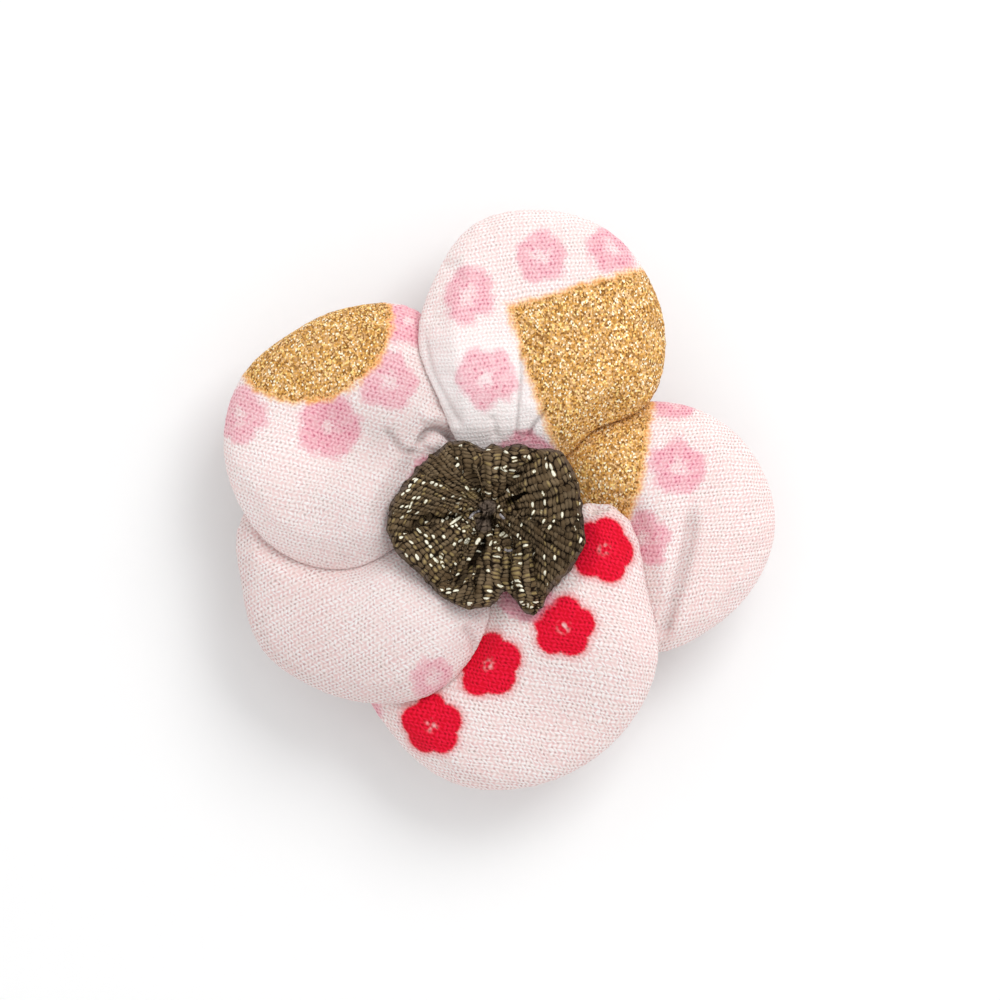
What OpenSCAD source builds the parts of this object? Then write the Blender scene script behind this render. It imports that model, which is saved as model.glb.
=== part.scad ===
// Hair barrette with a cloth flower: five padded cotton petals and a gathered rosette on a clasp.
// The flower faces +Z and its top petal points along +Y. The origin is the middle of the
// clasp's flat underside. All sizes are in millimetres.

/* [Petals] */
// Width of the whole flower across its left and right petals
flower_w = 55.3; // [50:0.1:60]
// Height of a petal's puffed front above its rim
petal_crown = 3.1; // [2.5:0.1:4]
// Depth of a petal's puffed back below its rim
petal_belly = 1.4; // [1:0.1:2]
// Share of its height that a petal loses where a neighbour lies on it
petal_press = 0.7; // [0.5:0.05:0.75]
// How far the outer rims droop below the middle
petal_droop = 1.6; // [0:0.1:2.5]
// Share of a petal's height that is left in its gathered neck
neck_share = 0.35; // [0.25:0.05:0.5]
// Distance from the middle at which a petal is as thick as it gets
neck_reach = 14; // [12:0.5:16]

/* [Rosette] */
// Height of the rosette's highest folds above the petals under them
rosette_h = 4.4; // [3:0.1:5]
// Share of that height which is left in the dimple at the gather point
rosette_dimple = 0.5; // [0.35:0.05:0.7]

/* [Clasp] */
// Length of the clasp
clasp_l = 44; // [40:1:50]
// Width of the arched plate that the flower is sewn to
plate_w = 9; // [8:0.5:10]
// Thickness of the plate
plate_t = 1; // [0.8:0.1:1.2]
// Height that the plate's middle stands above its ends
plate_arch = 1; // [0.2:0.1:1.5]
// Width of the lower bar
bar_w = 7; // [6:0.5:8]
// Thickness of the lower bar
bar_t = 1.2; // [1:0.1:1.5]
// Height of the gap for the hair, in its middle
hair_gap = 5.8; // [5.2:0.1:7]

/* [Hidden] */

// The petals by number, from the lowest to the highest, and the rosette on top of them
RIGHT = 0;
BOTTOM = 1;
LOWER_LEFT = 2;
LEFT = 3;
TOP = 4;
ROSETTE = 5;
// Each petal lies on the ones in its row of UNDER, and those in its row of OVER lie on it
UNDER = [[], [RIGHT], [BOTTOM], [LOWER_LEFT], [LEFT, RIGHT], [RIGHT, BOTTOM, LOWER_LEFT, LEFT, TOP]];
OVER = [[BOTTOM, TOP], [LOWER_LEFT], [LEFT], [TOP], []];

// The tables below are drawn for a flower of this width
drawn_w = 55.3;
size = flower_w / drawn_w;

// Middle of each petal: x, y
CENTRES = [[16.5, -0.5], [3.5, -14], [-12, -6.5], [-14, 8.5], [5.5, 18]];
MIDDLES = size * CENTRES;
// How far each rim is from its petal's middle, counter-clockwise from +X.
// Columns: angle, right, bottom, lower left, left, top
RIMS = [
    [  0, 12.4, 13.6, 12.3, 12.0, 12.4],
    [ 30, 12.4, 14.4, 10.2, 11.8, 12.4],
    [ 60, 12.5, 17.9,  9.5, 14.3, 12.9],
    [ 90, 12.4, 12.0,  9.0, 12.8, 13.1],
    [120, 12.3, 11.0, 11.5, 11.7, 13.5],
    [150, 12.7, 12.0, 14.3, 12.1, 12.4],
    [180, 13.0, 16.1, 12.6, 12.4, 12.4],
    [210, 13.0, 15.0, 12.4, 12.8, 11.9],
    [240, 13.0, 14.2, 11.6, 13.5, 13.8],
    [270, 12.9, 12.9, 11.8, 13.4, 13.0],
    [300, 12.0, 12.3, 12.7, 12.0, 10.4],
    [330, 12.0, 12.6, 12.7, 12.0, 12.4]];
RIM_STEP = 360 / len(RIMS);

// Dents pressed or pulled into the petals' fronts.
// Columns: petal, from x, from y, to x, to y, half width, depth
DENTS = [
    [RIGHT,      21.4,   2.5, 18.0, -12.0, 1.6, 0.5],
    [RIGHT,      14.6,   0.0, 16.6,  -8.0, 1.5, 0.4],
    [LOWER_LEFT, -1.0,  -8.5, -0.9, -11.0, 1.2, 0.4],
    [LEFT,      -11.5,   8.6, -7.0,   6.6, 1.1, 0.5],
    [LEFT,       -7.5,   9.0, -3.8,   8.2, 1.0, 0.5],
    [TOP,         3.3,  19.0,  3.1,   9.0, 1.0, 0.4],
    [TOP,         6.6,  12.5,  4.2,   8.6, 1.1, 0.5]];

// Folds of the rosette around its gather point, counter-clockwise from +X.
// Columns: angle, reach of the rim, height of the folds
GATHER_POINT = size * [0.1, 1];
FOLDS = [
    [  0,  9.4, 1.00],
    [ 38,  9.5, 0.90],
    [ 51,  7.8, 0.55],
    [ 64,  7.4, 0.95],
    [ 75,  6.5, 0.80],
    [ 86,  6.6, 0.95],
    [ 96,  6.2, 0.80],
    [106,  7.2, 0.95],
    [118,  8.1, 0.55],
    [131,  7.8, 0.90],
    [155,  8.4, 1.00],
    [178, 10.0, 0.85],
    [190, 10.4, 0.50],
    [202, 10.3, 0.90],
    [222,  9.4, 1.00],
    [240,  9.8, 0.50],
    [254, 10.2, 0.95],
    [272,  9.6, 0.95],
    [283,  8.6, 0.60],
    [293, 11.2, 0.90],
    [302, 10.5, 0.50],
    [316, 10.1, 0.90],
    [337, 10.4, 1.00],
    [360,  9.4, 1.00]];

// Gap left between any two pieces that lie on each other
gap = 0.35;
// The rosette's folded underside gets a little more
rosette_gap = 0.45;
// Distance from the gather point over which a petal's neck is flat
neck_flat = 3;
// A dent takes at most this share of a petal's height
dent_limit = 0.5;
// The rosette's dimple ends at this share of its reach
dimple_end = 0.5;
// Roundness of the two puffed profiles: a higher number gives a flatter middle
petal_round = 3;
rosette_round = 4;
// Where the droop starts, and how far out it is complete
droop_start = 8;
droop_run = 24;
// A petal's rim follows a lower petal up from this many of that petal's reaches, over this many
lift_end = 0.85;
lift_run = 0.9;
// A petal on top presses from this many of its own reaches inwards, over this many
press_start = 1.2;
press_run = 0.4;

// Facets of a petal: points around, rings on the front and on the back
PETAL_AROUND = 48;
PETAL_FRONT = 10;
PETAL_BACK = 8;
// Facets of the rosette
ROSETTE_AROUND = 72;
ROSETTE_FRONT = 9;
ROSETTE_BACK = 4;

// Clasp, worked out
clasp_h = bar_t + hair_gap + plate_t;
arch_r = (clasp_l * clasp_l / 4 + plate_arch * plate_arch) / (2 * plate_arch);
// The posts that join the bar to the plate stand this far in from the plate's ends
post_inset = 3;
post_t = 1.6;
post_x = clasp_l / 2 - post_inset;
// A round barrel runs across the foot of each post
barrel_r = 1.5;
// The lower bar ends this far in from the plate's ends
bar_inset = 1;
// Spare height on a shape that only cuts another to its outline
cut_spare = 1;
ARC_FACETS = 720;
ROUND_FACETS = 64;
// Height of the flower's back where it rests on the clasp
seat_z = clasp_h + gap;

PRINT_PINK = [0.95, 0.88, 0.88];
BRONZE = [0.30, 0.27, 0.21];

// Rises smoothly from 0 to 1 as t goes from 0 to 1
function smooth(t) = let (c = max(0, min(1, t))) c * c * (3 - 2 * c);

// Curve through b and c, a share f of the way from b to c, with a and d beside them
function through(a, b, c, d, f) =
    0.5 * (2 * b + (c - a) * f + (2 * a - 5 * b + 4 * c - d) * f * f + (3 * b - a - 3 * c + d) * f * f * f);

// Distance from petal k's middle to its rim in direction a
function reach(k, a) =
    let (t = (a + 360) % 360 / RIM_STEP, i = floor(t), n = len(RIMS))
    size * through(RIMS[(i + n - 1) % n][k + 1], RIMS[i % n][k + 1],
                   RIMS[(i + 1) % n][k + 1], RIMS[(i + 2) % n][k + 1], t - i);

// How far out a place is on petal k: 0 at its middle, 1 at its rim
function ratio(k, x, y) =
    let (d = [x, y] - MIDDLES[k])
    norm(d) / reach(k, atan2(d[1], d[0]));

// Puffed profile of a stuffed pad: 1 at its middle, 0 and upright at its rim
function puff(u) = sqrt(max(0, 1 - pow(u, petal_round)));

// Thickness left by the gathered neck
function neck(x, y) =
    neck_share + (1 - neck_share)
    * smooth((norm([x, y] - GATHER_POINT) - neck_flat) / (neck_reach - neck_flat));

// Share of petal k's height that its neighbours take by lying on it
function pressed(k, x, y) =
    petal_press * max([0, for (j = OVER[k]) smooth((press_start - ratio(j, x, y)) / press_run)]);

function front_h(k, x, y) = petal_crown * neck(x, y) * (1 - pressed(k, x, y));
function back_h(k, x, y) = petal_belly * neck(x, y) * puff(ratio(k, x, y));

// Height of a rim that lies on nothing but the clasp
function open_z(x, y) =
    seat_z + petal_belly * neck(x, y) - petal_droop * smooth((norm([x, y]) - droop_start) / droop_run);

// Height that a piece takes from the petals in list, with room for what hangs below its rim
function lie_z(list, x, y, hang) =
    let (z = open_z(x, y))
    max([z, for (j = list)
        let (u = ratio(j, x, y))
        u > lift_end + lift_run ? z
        : z + (1 - smooth((u - lift_end) / lift_run)) * (rim_z(j, x, y) - z + hang + front_h(j, x, y))]);

function rim_z(k, x, y) = lie_z(UNDER[k], x, y, gap + back_h(k, x, y));

// Depth of the dents in petal k's front at a place
function dent(k, x, y) =
    max([0, for (d = DENTS)
        if (d[0] == k)
            let (a = size * [d[1], d[2]], b = size * [d[3], d[4]], p = [x, y],
                 f = max(0, min(1, (p - a) * (b - a) / ((b - a) * (b - a)))),
                 away = norm(p - a - f * (b - a)) / d[5])
            d[6] * exp(-away * away)]);

function front_z(k, x, y) =
    let (h = front_h(k, x, y), shape = puff(ratio(k, x, y)))
    rim_z(k, x, y) + shape * (h - min(dent(k, x, y), dent_limit * h));
function back_z(k, x, y) = rim_z(k, x, y) - back_h(k, x, y);

// Rings at even steps of a quarter turn, so that they crowd towards the upright rim
function rings(n) = [for (i = [1:n]) sin(90 * i / n)];

// Triangles of a closed body: pole, rings going outwards and back in, pole
function skin(around, count) =
    let (last = 1 + around * count)
    [for (i = [0:around - 1])
        let (j = (i + 1) % around)
        each [
            [0, 1 + j, 1 + i],
            [last, last - around + i, last - around + j],
            for (r = [0:count - 2])
                let (a = 1 + r * around, b = a + around)
                each [[a + i, a + j, b + j], [a + i, b + j, b + i]]]];

module petal(k) {
    fronts = rings(PETAL_FRONT);
    backs = rings(PETAL_BACK);
    middle = MIDDLES[k];
    points = [
        [middle[0], middle[1], front_z(k, middle[0], middle[1])],
        for (u = fronts, i = [0:PETAL_AROUND - 1])
            let (a = 360 * i / PETAL_AROUND, p = middle + u * reach(k, a) * [cos(a), sin(a)])
            [p[0], p[1], front_z(k, p[0], p[1])],
        for (r = [PETAL_BACK - 2:-1:0], i = [0:PETAL_AROUND - 1])
            let (a = 360 * i / PETAL_AROUND, p = middle + backs[r] * reach(k, a) * [cos(a), sin(a)])
            [p[0], p[1], back_z(k, p[0], p[1])],
        [middle[0], middle[1], back_z(k, middle[0], middle[1])]];
    color(PRINT_PINK)
        polyhedron(points, skin(PETAL_AROUND, PETAL_FRONT + PETAL_BACK - 1));
}

module petal_right() { petal(RIGHT); }
module petal_bottom() { petal(BOTTOM); }
module petal_lower_left() { petal(LOWER_LEFT); }
module petal_left() { petal(LEFT); }
module petal_top() { petal(TOP); }

FOLD_REACH = [for (f = FOLDS) [f[0], size * f[1]]];
FOLD_HEIGHT = [for (f = FOLDS) [f[0], rosette_h * f[2]]];

// Height of the rosette's front over its back: a dimple, round folds and a rolled rim
function rosette_rise(a, u) =
    lookup(a, FOLD_HEIGHT) * sqrt(max(0, 1 - pow(u, rosette_round)))
    * (rosette_dimple + (1 - rosette_dimple) * smooth(u / dimple_end));

module rosette() {
    fronts = rings(ROSETTE_FRONT);
    backs = rings(ROSETTE_BACK);
    hub = GATHER_POINT;
    seat = function(x, y) lie_z(UNDER[ROSETTE], x, y, rosette_gap);
    points = [
        [hub[0], hub[1], seat(hub[0], hub[1]) + rosette_dimple * rosette_h],
        for (u = fronts, i = [0:ROSETTE_AROUND - 1])
            let (a = 360 * i / ROSETTE_AROUND, p = hub + u * lookup(a, FOLD_REACH) * [cos(a), sin(a)])
            [p[0], p[1], seat(p[0], p[1]) + rosette_rise(a, u)],
        for (r = [ROSETTE_BACK - 2:-1:0], i = [0:ROSETTE_AROUND - 1])
            let (a = 360 * i / ROSETTE_AROUND,
                 p = hub + backs[r] * lookup(a, FOLD_REACH) * [cos(a), sin(a)])
            [p[0], p[1], seat(p[0], p[1])],
        [hub[0], hub[1], seat(hub[0], hub[1])]];
    color(BRONZE)
        polyhedron(points, skin(ROSETTE_AROUND, ROSETTE_FRONT + ROSETTE_BACK - 1));
}

// A strip with round ends, lying along X
module strip(l, w, h) {
    linear_extrude(h) {
        square([l - w, w], center = true);
        for (side = [-1, 1])
            translate([side * (l - w) / 2, 0])
                circle(d = w, $fn = ROUND_FACETS);
    }
}

module arched_plate() {
    intersection() {
        strip(clasp_l, plate_w, clasp_h + cut_spare);
        translate([0, plate_w / 2, clasp_h - arch_r])
            rotate([90, 0, 0])
                linear_extrude(plate_w)
                    difference() {
                        circle(arch_r, $fn = ARC_FACETS);
                        circle(arch_r - plate_t, $fn = ARC_FACETS);
                    }
        translate([-clasp_l / 2, -plate_w / 2, bar_t])
            cube([clasp_l, plate_w, clasp_h]);
    }
}

// Height of the plate's underside at x
function plate_under(x) = clasp_h - arch_r + sqrt(pow(arch_r - plate_t, 2) - x * x);

module clasp() {
    color("silver") {
        arched_plate();
        strip(clasp_l - 2 * bar_inset, bar_w, bar_t);
        for (side = [-1, 1]) {
            translate([side * post_x - post_t / 2, -bar_w / 2, bar_t / 2])
                cube([post_t, bar_w, plate_under(post_x) + plate_t / 2 - bar_t / 2]);
            translate([side * post_x, bar_w / 2, bar_t + barrel_r / 2])
                rotate([90, 0, 0])
                    cylinder(h = bar_w, r = barrel_r, $fn = ROUND_FACETS);
        }
    }
}

petal_right();
petal_bottom();
petal_lower_left();
petal_left();
petal_top();
rosette();
clasp();
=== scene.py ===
import math

import bpy
import numpy as np
from mathutils import Matrix, Vector, noise
from mathutils.bvhtree import BVHTree


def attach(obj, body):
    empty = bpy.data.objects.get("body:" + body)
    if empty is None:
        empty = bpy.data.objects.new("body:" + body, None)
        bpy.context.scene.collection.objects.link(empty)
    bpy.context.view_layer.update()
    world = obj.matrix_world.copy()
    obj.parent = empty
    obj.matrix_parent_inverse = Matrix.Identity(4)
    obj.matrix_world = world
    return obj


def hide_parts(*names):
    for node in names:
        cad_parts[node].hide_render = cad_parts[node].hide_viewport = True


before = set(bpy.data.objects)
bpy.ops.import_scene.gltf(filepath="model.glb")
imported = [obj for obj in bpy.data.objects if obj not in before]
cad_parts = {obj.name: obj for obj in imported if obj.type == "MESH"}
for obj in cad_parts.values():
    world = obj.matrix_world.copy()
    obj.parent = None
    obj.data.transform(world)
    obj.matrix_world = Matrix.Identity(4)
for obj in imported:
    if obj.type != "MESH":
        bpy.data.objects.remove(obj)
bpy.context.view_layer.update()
MM = 0.001


# The clasp: an arched plate over a flat lower bar, with a post and a rolled barrel at each end.
# It is spring steel, nickel plated and brushed along its length, dulled where fingers hold it.

STEEL_LIGHT = (0.62, 0.60, 0.57)
STEEL_DULL = (0.40, 0.38, 0.35)
# Unevenness, in waves in a metre: the brushing across and along the clasp, and the dulled patches
BRUSH_ACROSS = 14.0 / MM
BRUSH_ALONG = 0.35 / MM
HANDLED = 0.12 / MM
BRUSH_DEPTH = 0.01 * MM


class Wire:
    """A number, vector or colour on its way through a material. Sums on it add the nodes."""

    def __init__(self, tree, socket=None):
        self.tree = tree
        self.socket = socket

    def node(self, kind, settings=None, sockets=None, out=0):
        """A new node. Its settings are made first, and then its sockets are set or linked."""
        made = self.tree.nodes.new(kind)
        for name, value in (settings or {}).items():
            if name == "stops":
                made.color_ramp.interpolation = "CONSTANT"
                set_stops(made.color_ramp.elements, value)
            else:
                setattr(made, name, value)
        for name, value in (sockets or {}).items():
            if isinstance(value, Wire):
                self.tree.links.new(value.socket, made.inputs[name])
            elif made.inputs[name].type == "RGBA":
                made.inputs[name].default_value = (*value, 1)
            else:
                made.inputs[name].default_value = value
        return Wire(self.tree, made.outputs[out])

    def is_number(self):
        return self.socket.type == "VALUE"

    def sum(self, operation, *values, out=0):
        """A Math node, or a Vector Math node where a vector or a colour takes part."""
        plain = [isinstance(v, (int, float)) or isinstance(v, Wire) and v.is_number() for v in values]
        if all(plain):
            return self.node("ShaderNodeMath", {"operation": operation}, dict(enumerate(values)))
        full = [(v,) * 3 if isinstance(v, (int, float)) else v for v in values]
        return self.node("ShaderNodeVectorMath", {"operation": operation}, dict(enumerate(full)), out)

    def __add__(self, other):
        return self.sum("ADD", self, other)

    def __sub__(self, other):
        return self.sum("SUBTRACT", self, other)

    def __rsub__(self, other):
        return self.sum("SUBTRACT", other, self)

    def __mul__(self, other):
        return self.sum("MULTIPLY", self, other)

    __radd__ = __add__
    __rmul__ = __mul__

    def __abs__(self):
        return self.sum("ABSOLUTE", self)

    def dot(self, direction):
        return self.sum("DOT_PRODUCT", self, direction, out=1)

    def part(self, axis):
        """One of the three numbers of a vector or a colour."""
        return self.dot(tuple(float(number == axis) for number in range(3)))

    def length(self):
        return self.sum("LENGTH", self, out=1)

    def greatest(self, other):
        return self.sum("MAXIMUM", self, other)

    def ramp(self, low, high):
        """0 where this value is at low, rising smoothly to 1 where it is at high."""
        return self.node("ShaderNodeMapRange", {"interpolation_type": "SMOOTHSTEP"},
                         {"Value": self, "From Min": low, "From Max": high})

    def blend(self, low, high):
        """A colour, from low where this value is 0 to high where it is 1."""
        # By number, a Mix node's factor is 0, its colours are 6 and 7, and its mixed colour is 2
        return self.node("ShaderNodeMix", {"data_type": "RGBA"}, {0: self, 6: low, 7: high}, out=2)

    def noise(self, scale, detail=2.0, out="Fac"):
        return self.node("ShaderNodeTexNoise", {"noise_dimensions": "3D"},
                         {"Vector": self, "Scale": scale, "Detail": detail}, out)

    def random(self):
        """A random number from 0 to 1 for each whole-numbered place."""
        return self.node("ShaderNodeTexWhiteNoise", {"noise_dimensions": "3D"}, {"Vector": self})

    def cells(self, scale, stray, out, feature="F1"):
        """What a flat pattern of cells, which stray this much from a square grid, says of a place."""
        return self.node("ShaderNodeTexVoronoi", {"voronoi_dimensions": "2D", "feature": feature},
                         {"Vector": self, "Scale": scale, "Randomness": stray}, out)

    def bump(self, strength, distance):
        """The surface's direction where this value is its height."""
        return self.node("ShaderNodeBump", {},
                         {"Height": self, "Strength": strength, "Distance": distance})

    def object_place(self):
        return self.node("ShaderNodeTexCoord", out="Object")

    def of_mesh(self, name, out="Vector"):
        """What the mesh's own points say under this name."""
        return self.node("ShaderNodeAttribute", {"attribute_name": name}, out=out)

    def pair(self, x=0.0, y=0.0):
        """A vector of two numbers."""
        return self.node("ShaderNodeCombineXYZ", {}, {"X": x, "Y": y})


def set_stops(elements, stops):
    """Gives a colour ramp its stops, a list of (place, colour)."""
    elements.remove(elements[-1])
    for number, (place, colour) in enumerate(stops):
        element = elements[0] if number == 0 else elements.new(place)
        element.position = place
        element.color = (*colour, 1)


def new_material(name):
    """An empty material, and the wire that its first nodes hang on."""
    made = bpy.data.materials.new(name)
    made.use_nodes = True
    made.node_tree.nodes.clear()
    return made, Wire(made.node_tree)


def surface(paint, sockets, fixed):
    """Ends a material: what varies comes in by the sockets, and what is the same all over is fixed."""
    shader = paint.node("ShaderNodeBsdfPrincipled", {}, {**fixed, **sockets})
    output = paint.tree.nodes.new("ShaderNodeOutputMaterial")
    paint.tree.links.new(shader.socket, output.inputs["Surface"])


nickel, paint = new_material("satin_nickel")
place = paint.object_place()
brushed = (place * (BRUSH_ALONG, BRUSH_ACROSS, BRUSH_ACROSS)).noise(1.0)
handled = place.noise(HANDLED).ramp(0.42, 0.62)
surface(paint,
        {"Base Color": (handled * 0.5 + brushed * 0.3).blend(STEEL_LIGHT, STEEL_DULL),
         "Roughness": 0.26 + handled * 0.14 + brushed * 0.1,
         "Normal": brushed.bump(0.5, BRUSH_DEPTH)},
        {"Metallic": 1.0})
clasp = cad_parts["clasp"]
clasp.data.materials.clear()
clasp.data.materials.append(nickel)


# The petals: five pads of one printed quilting cotton, each stuffed, gathered to a neck at the
# middle and sewn down over the one before it. The front is printed with small blossoms and with
# areas of gold glitter; the back is its own plain piece, joined by a seam just behind the rim.

# Columns: node, middle, warp threads' spacing direction and pitch, weft threads' the same, and how
# much painted shade darkens the cloth all over and by its neck; below zero it is painted light
PETALS = [
    ("petal_right", (16.5, -0.5), (-9, 0.41), (95, 0.42), 0.0, 0.08),
    ("petal_bottom", (3.5, -14.0), (13, 0.46), (80, 0.43), 0.03, 0.0),
    ("petal_lower_left", (-12.0, -6.5), (28, 0.46), (117, 0.43), 0.09, -0.15),
    ("petal_left", (-14.0, 8.5), (-18, 0.46), (73, 0.43), -0.12, 0.12),
    ("petal_top", (5.5, 18.0), (2, 0.42), (96, 0.42), -0.15, -0.50),
]
# Spacing of the net that the cloth is simulated on, and how often it is relaxed
NET = 0.35
NET_RELAXED = 6
# The simulation runs on a flower this many times its real size
SIM_SCALE = 40
SIM_FRAMES = 20
SIM_QUALITY = 6
STUFFING = 4.0
# The cloth starts this far inside the finished pad
START_INSET = 0.12
# The cloth moves at most this far up or down and sideways, and less near what it lies on
MOST_MOVE = 0.7
MOST_SIDEWAYS = 0.12
SHARE_OF_GAP = 0.4
# The cloth shrinks by this share at the neck, below zero because it is gathered there and so longer
GATHERED = -0.10
# The point that it is gathered to, and how far from there it is gathered fully and not at all
GATHER_POINT = (0.1, 1.0)
GATHER_NEAR = 5.0
GATHER_FAR = 13.0

# Creases pressed into the fronts, and the soft rolls between them, whose depth is below zero.
# Columns: half width, depth, how much painted shade darkens the cloth in it, points
CREASES = {
    "petal_top": [
        (0.28, 0.30, 0.08, [(-6.4, 19.4), (-6.0, 16.8), (-5.4, 14.6),
                            (-4.4, 12.5), (-3.4, 10.7), (-2.6, 9.4)]),
        (0.17, 0.30, 0.22, [(3.3, 18.2), (3.4, 15.0), (3.2, 12.4), (2.9, 8.6)]),
        (0.20, 0.36, 0.36, [(6.0, 11.4), (5.4, 10.4), (4.7, 9.6), (4.0, 8.2)]),
        (0.90, -0.25, 0.0, [(4.6, 12.2), (3.9, 10.6), (3.4, 8.6)]),
        (0.35, 0.22, 0.0, [(0.4, 10.6), (0.7, 9.4), (0.9, 8.2)]),
        (0.16, 0.10, 0.12, [(12.3, 20.1), (10.4, 16.6), (8.5, 13.1)]),
    ],
    "petal_left": [
        (0.32, 0.70, 0.35, [(-6.9, 6.9), (-6.6, 8.0), (-5.9, 8.8),
                            (-4.9, 9.0), (-4.1, 8.6), (-3.3, 7.8)]),
        (0.75, -0.55, 0.0, [(-6.8, 9.9), (-5.2, 10.4), (-3.6, 9.8)]),
        (0.70, -0.40, 0.0, [(-5.9, 7.0), (-5.0, 7.8), (-4.0, 7.3)]),
        (0.40, 0.45, 0.28, [(-10.6, 9.4), (-9.4, 8.1), (-8.2, 6.9), (-7.0, 6.6)]),
        (1.30, 0.35, 0.06, [(-12.4, 8.2), (-9.6, 6.0), (-7.2, 5.0)]),
        (2.80, 0.0, 0.12, [(-17.5, 12.0), (-13.5, 10.0), (-9.5, 7.0)]),
    ],
    "petal_lower_left": [(0.45, 0.35, 0.15, [(-2.4, -10.4), (-1.4, -11.8), (-1.0, -13.4)])],
    "petal_bottom": [(0.50, 0.45, 0.05, [(10.1, 0.8), (11.0, 1.4), (12.2, 1.5)])],
    "petal_right": [
        (0.65, 0.85, 0.20, [(20.8, 2.5), (20.2, -2.3), (19.2, -6.7), (18.4, -9.4), (17.4, -12.4)]),
    ],
}
# Columns: share of a crease over which it comes up, how far up it starts, and both for its end
CREASE_ENDS = (0.25, 0.0, 0.15, 0.35)
# The front is where the cloth faces up at least this much, and creases fade in up to there
FACING_UP = 0.4

# Printed blossoms. Columns: middle, turn, size, colour, strength
BLOSSOMS = {
    "petal_right": [
        ((19.1, 5.3), 18, 0.96, "pink", 0.95),
        ((18.8, 12.0), 30, 0.96, "pink", 0.95),
        ((15.7, -1.8), 12, 0.98, "pink", 0.9),
    ],
    "petal_bottom": [
        ((11.7, -2.9), 2, 1.18, "red", 1.0),
        ((7.6, -10.7), 11, 1.10, "red", 1.0),
        ((0.1, -14.4), 20, 1.20, "red", 1.0),
        ((-5.6, -20.6), 21, 1.12, "red", 1.0),
        ((3.8, -7.4), 0, 1.0, "pink", 1.0),
        ((-12.9, -18.4), 30, 0.9, "pink", 0.9),
    ],
    "petal_lower_left": [((-5.4, -15.7), 20, 0.82, "pink", 0.75)],
    "petal_left": [
        ((-9.8, 13.9), 2, 1.02, "pink", 0.8),
        ((-15.8, 9.3), -8, 1.10, "pink", 0.95),
        ((-24.9, 10.5), -5, 1.06, "pink", 0.8),
        ((-5.6, 4.2), 56, 0.80, "pink", 1.0),
        ((-7.8, 19.8), 10, 0.98, "pink", 0.95),
    ],
    "petal_top": [
        ((-2.0, 22.6), 38, 0.96, "pink", 0.85),
        ((5.4, 26.3), 26, 0.92, "pink", 0.85),
        ((12.5, 27.2), 30, 0.92, "pink", 0.9),
        ((-0.1, 14.2), 48, 1.08, "pink", 0.85),
        ((3.9, 6.2), 20, 1.10, "pink", 1.0),
    ],
}
# A blossom has five round lobes of this radius, with middles this far out
LOBE_OUT = 1.36
LOBE_R = 1.60

# Straight edges of the gold areas: gold lies to the left of each line from one point to the next
GOLD_EDGES = {
    "petal_top": [[(2.6, 21.1), (4.0, 15.5), (5.8, 10.5), (9.3, 2.0)], [(16.0, 24.8), (2.5, 21.1)]],
    "petal_right": [[(13.9, 0.6), (15.1, 3.5), (15.7, 7.5), (16.3, 11.2)]],
}
# The round gold area: its petal, middle and radius
GOLD_DISC = ("petal_left", (-18.2, 20.1), 7.9)

# Steps of the table that lays a petal's cloth flat, round and outwards, and how far out it goes
FLAT_TURNS = 96
FLAT_STEP = 0.25
FLAT_FAR = 20.0
# An outline is sought in this many halvings, and a rim is moved from this share of its reach on
HALVINGS = 12
FIT_FROM = 0.6
# The seam lies this far behind the rim, as a groove with this half width and depth
SEAM_BEHIND = 0.8
SEAM_WIDTH = 0.22
SEAM_DEPTH = 0.16
# The rim begins at this share of the way out, and its height is smoothed this often
RIM_SHARE = 0.86
RIM_SMOOTHED = 3


def add(name, data):
    """A new object in the scene."""
    made = bpy.data.objects.new(name, data)
    bpy.context.scene.collection.objects.link(made)
    return made


def linear(red, green, blue):
    """A colour given in 0 to 255 steps, as the even light that a shader takes."""
    return tuple((c / 255 / 12.92) if c < 10 else ((c / 255 + 0.055) / 1.055) ** 2.4
                 for c in (red, green, blue))


def read(items, name, width, kind=np.float32):
    """What a mesh's points or edges say under a name, a row for each."""
    flat = np.zeros(len(items) * width, kind)
    items.foreach_get(name, flat)
    return flat.reshape(-1, width)


def read_points(mesh):
    return read(mesh.vertices, "co", 3).astype(float)


def read_normals(mesh):
    return read(mesh.vertex_normals, "vector", 3).astype(float)


def read_edges(mesh):
    return read(mesh.edges, "vertices", 2, np.int32)


def write_points(mesh, points):
    mesh.vertices.foreach_set("co", points.astype(np.float32).ravel())
    mesh.update()


def relaxed(points, edges, times):
    """Points drawn halfway towards the middle of their neighbours, so many times."""
    count = np.bincount(edges.ravel(), minlength=len(points))[:, None]
    for _ in range(times):
        total = np.zeros_like(points)
        np.add.at(total, edges[:, 0], points[edges[:, 1]])
        np.add.at(total, edges[:, 1], points[edges[:, 0]])
        points = (points + total / count) / 2
    return points


def write_attribute(mesh, name, values):
    """Gives each point of a mesh three numbers of its own, for its material to read."""
    attribute = mesh.attributes.new(name, "FLOAT_VECTOR", "POINT")
    attribute.data.foreach_set("vector", values.astype(np.float32).ravel())


def smooth(t):
    """0 up to 0 and 1 from 1 on, with a soft rise between."""
    c = np.clip(t, 0, 1)
    return c * c * (3 - 2 * c)


def heading(angle):
    """A step of 1 in the direction of this angle, in radians."""
    return np.array([math.cos(angle), math.sin(angle)])


def away_from(places, middle):
    """How far each place is from a middle, seen from above."""
    return np.hypot(places[..., 0] - middle[0], places[..., 1] - middle[1])


def apply_modifiers(piece):
    """Puts the result of a piece's modifiers into its mesh."""
    view = bpy.context.evaluated_depsgraph_get()
    view.update()
    made = bpy.data.meshes.new_from_object(piece.evaluated_get(view))
    old = piece.data
    piece.modifiers.clear()
    piece.data = made
    bpy.data.meshes.remove(old)


def search_tree(mesh):
    return BVHTree.FromPolygons([v.co for v in mesh.vertices], [p.vertices for p in mesh.polygons])


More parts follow.
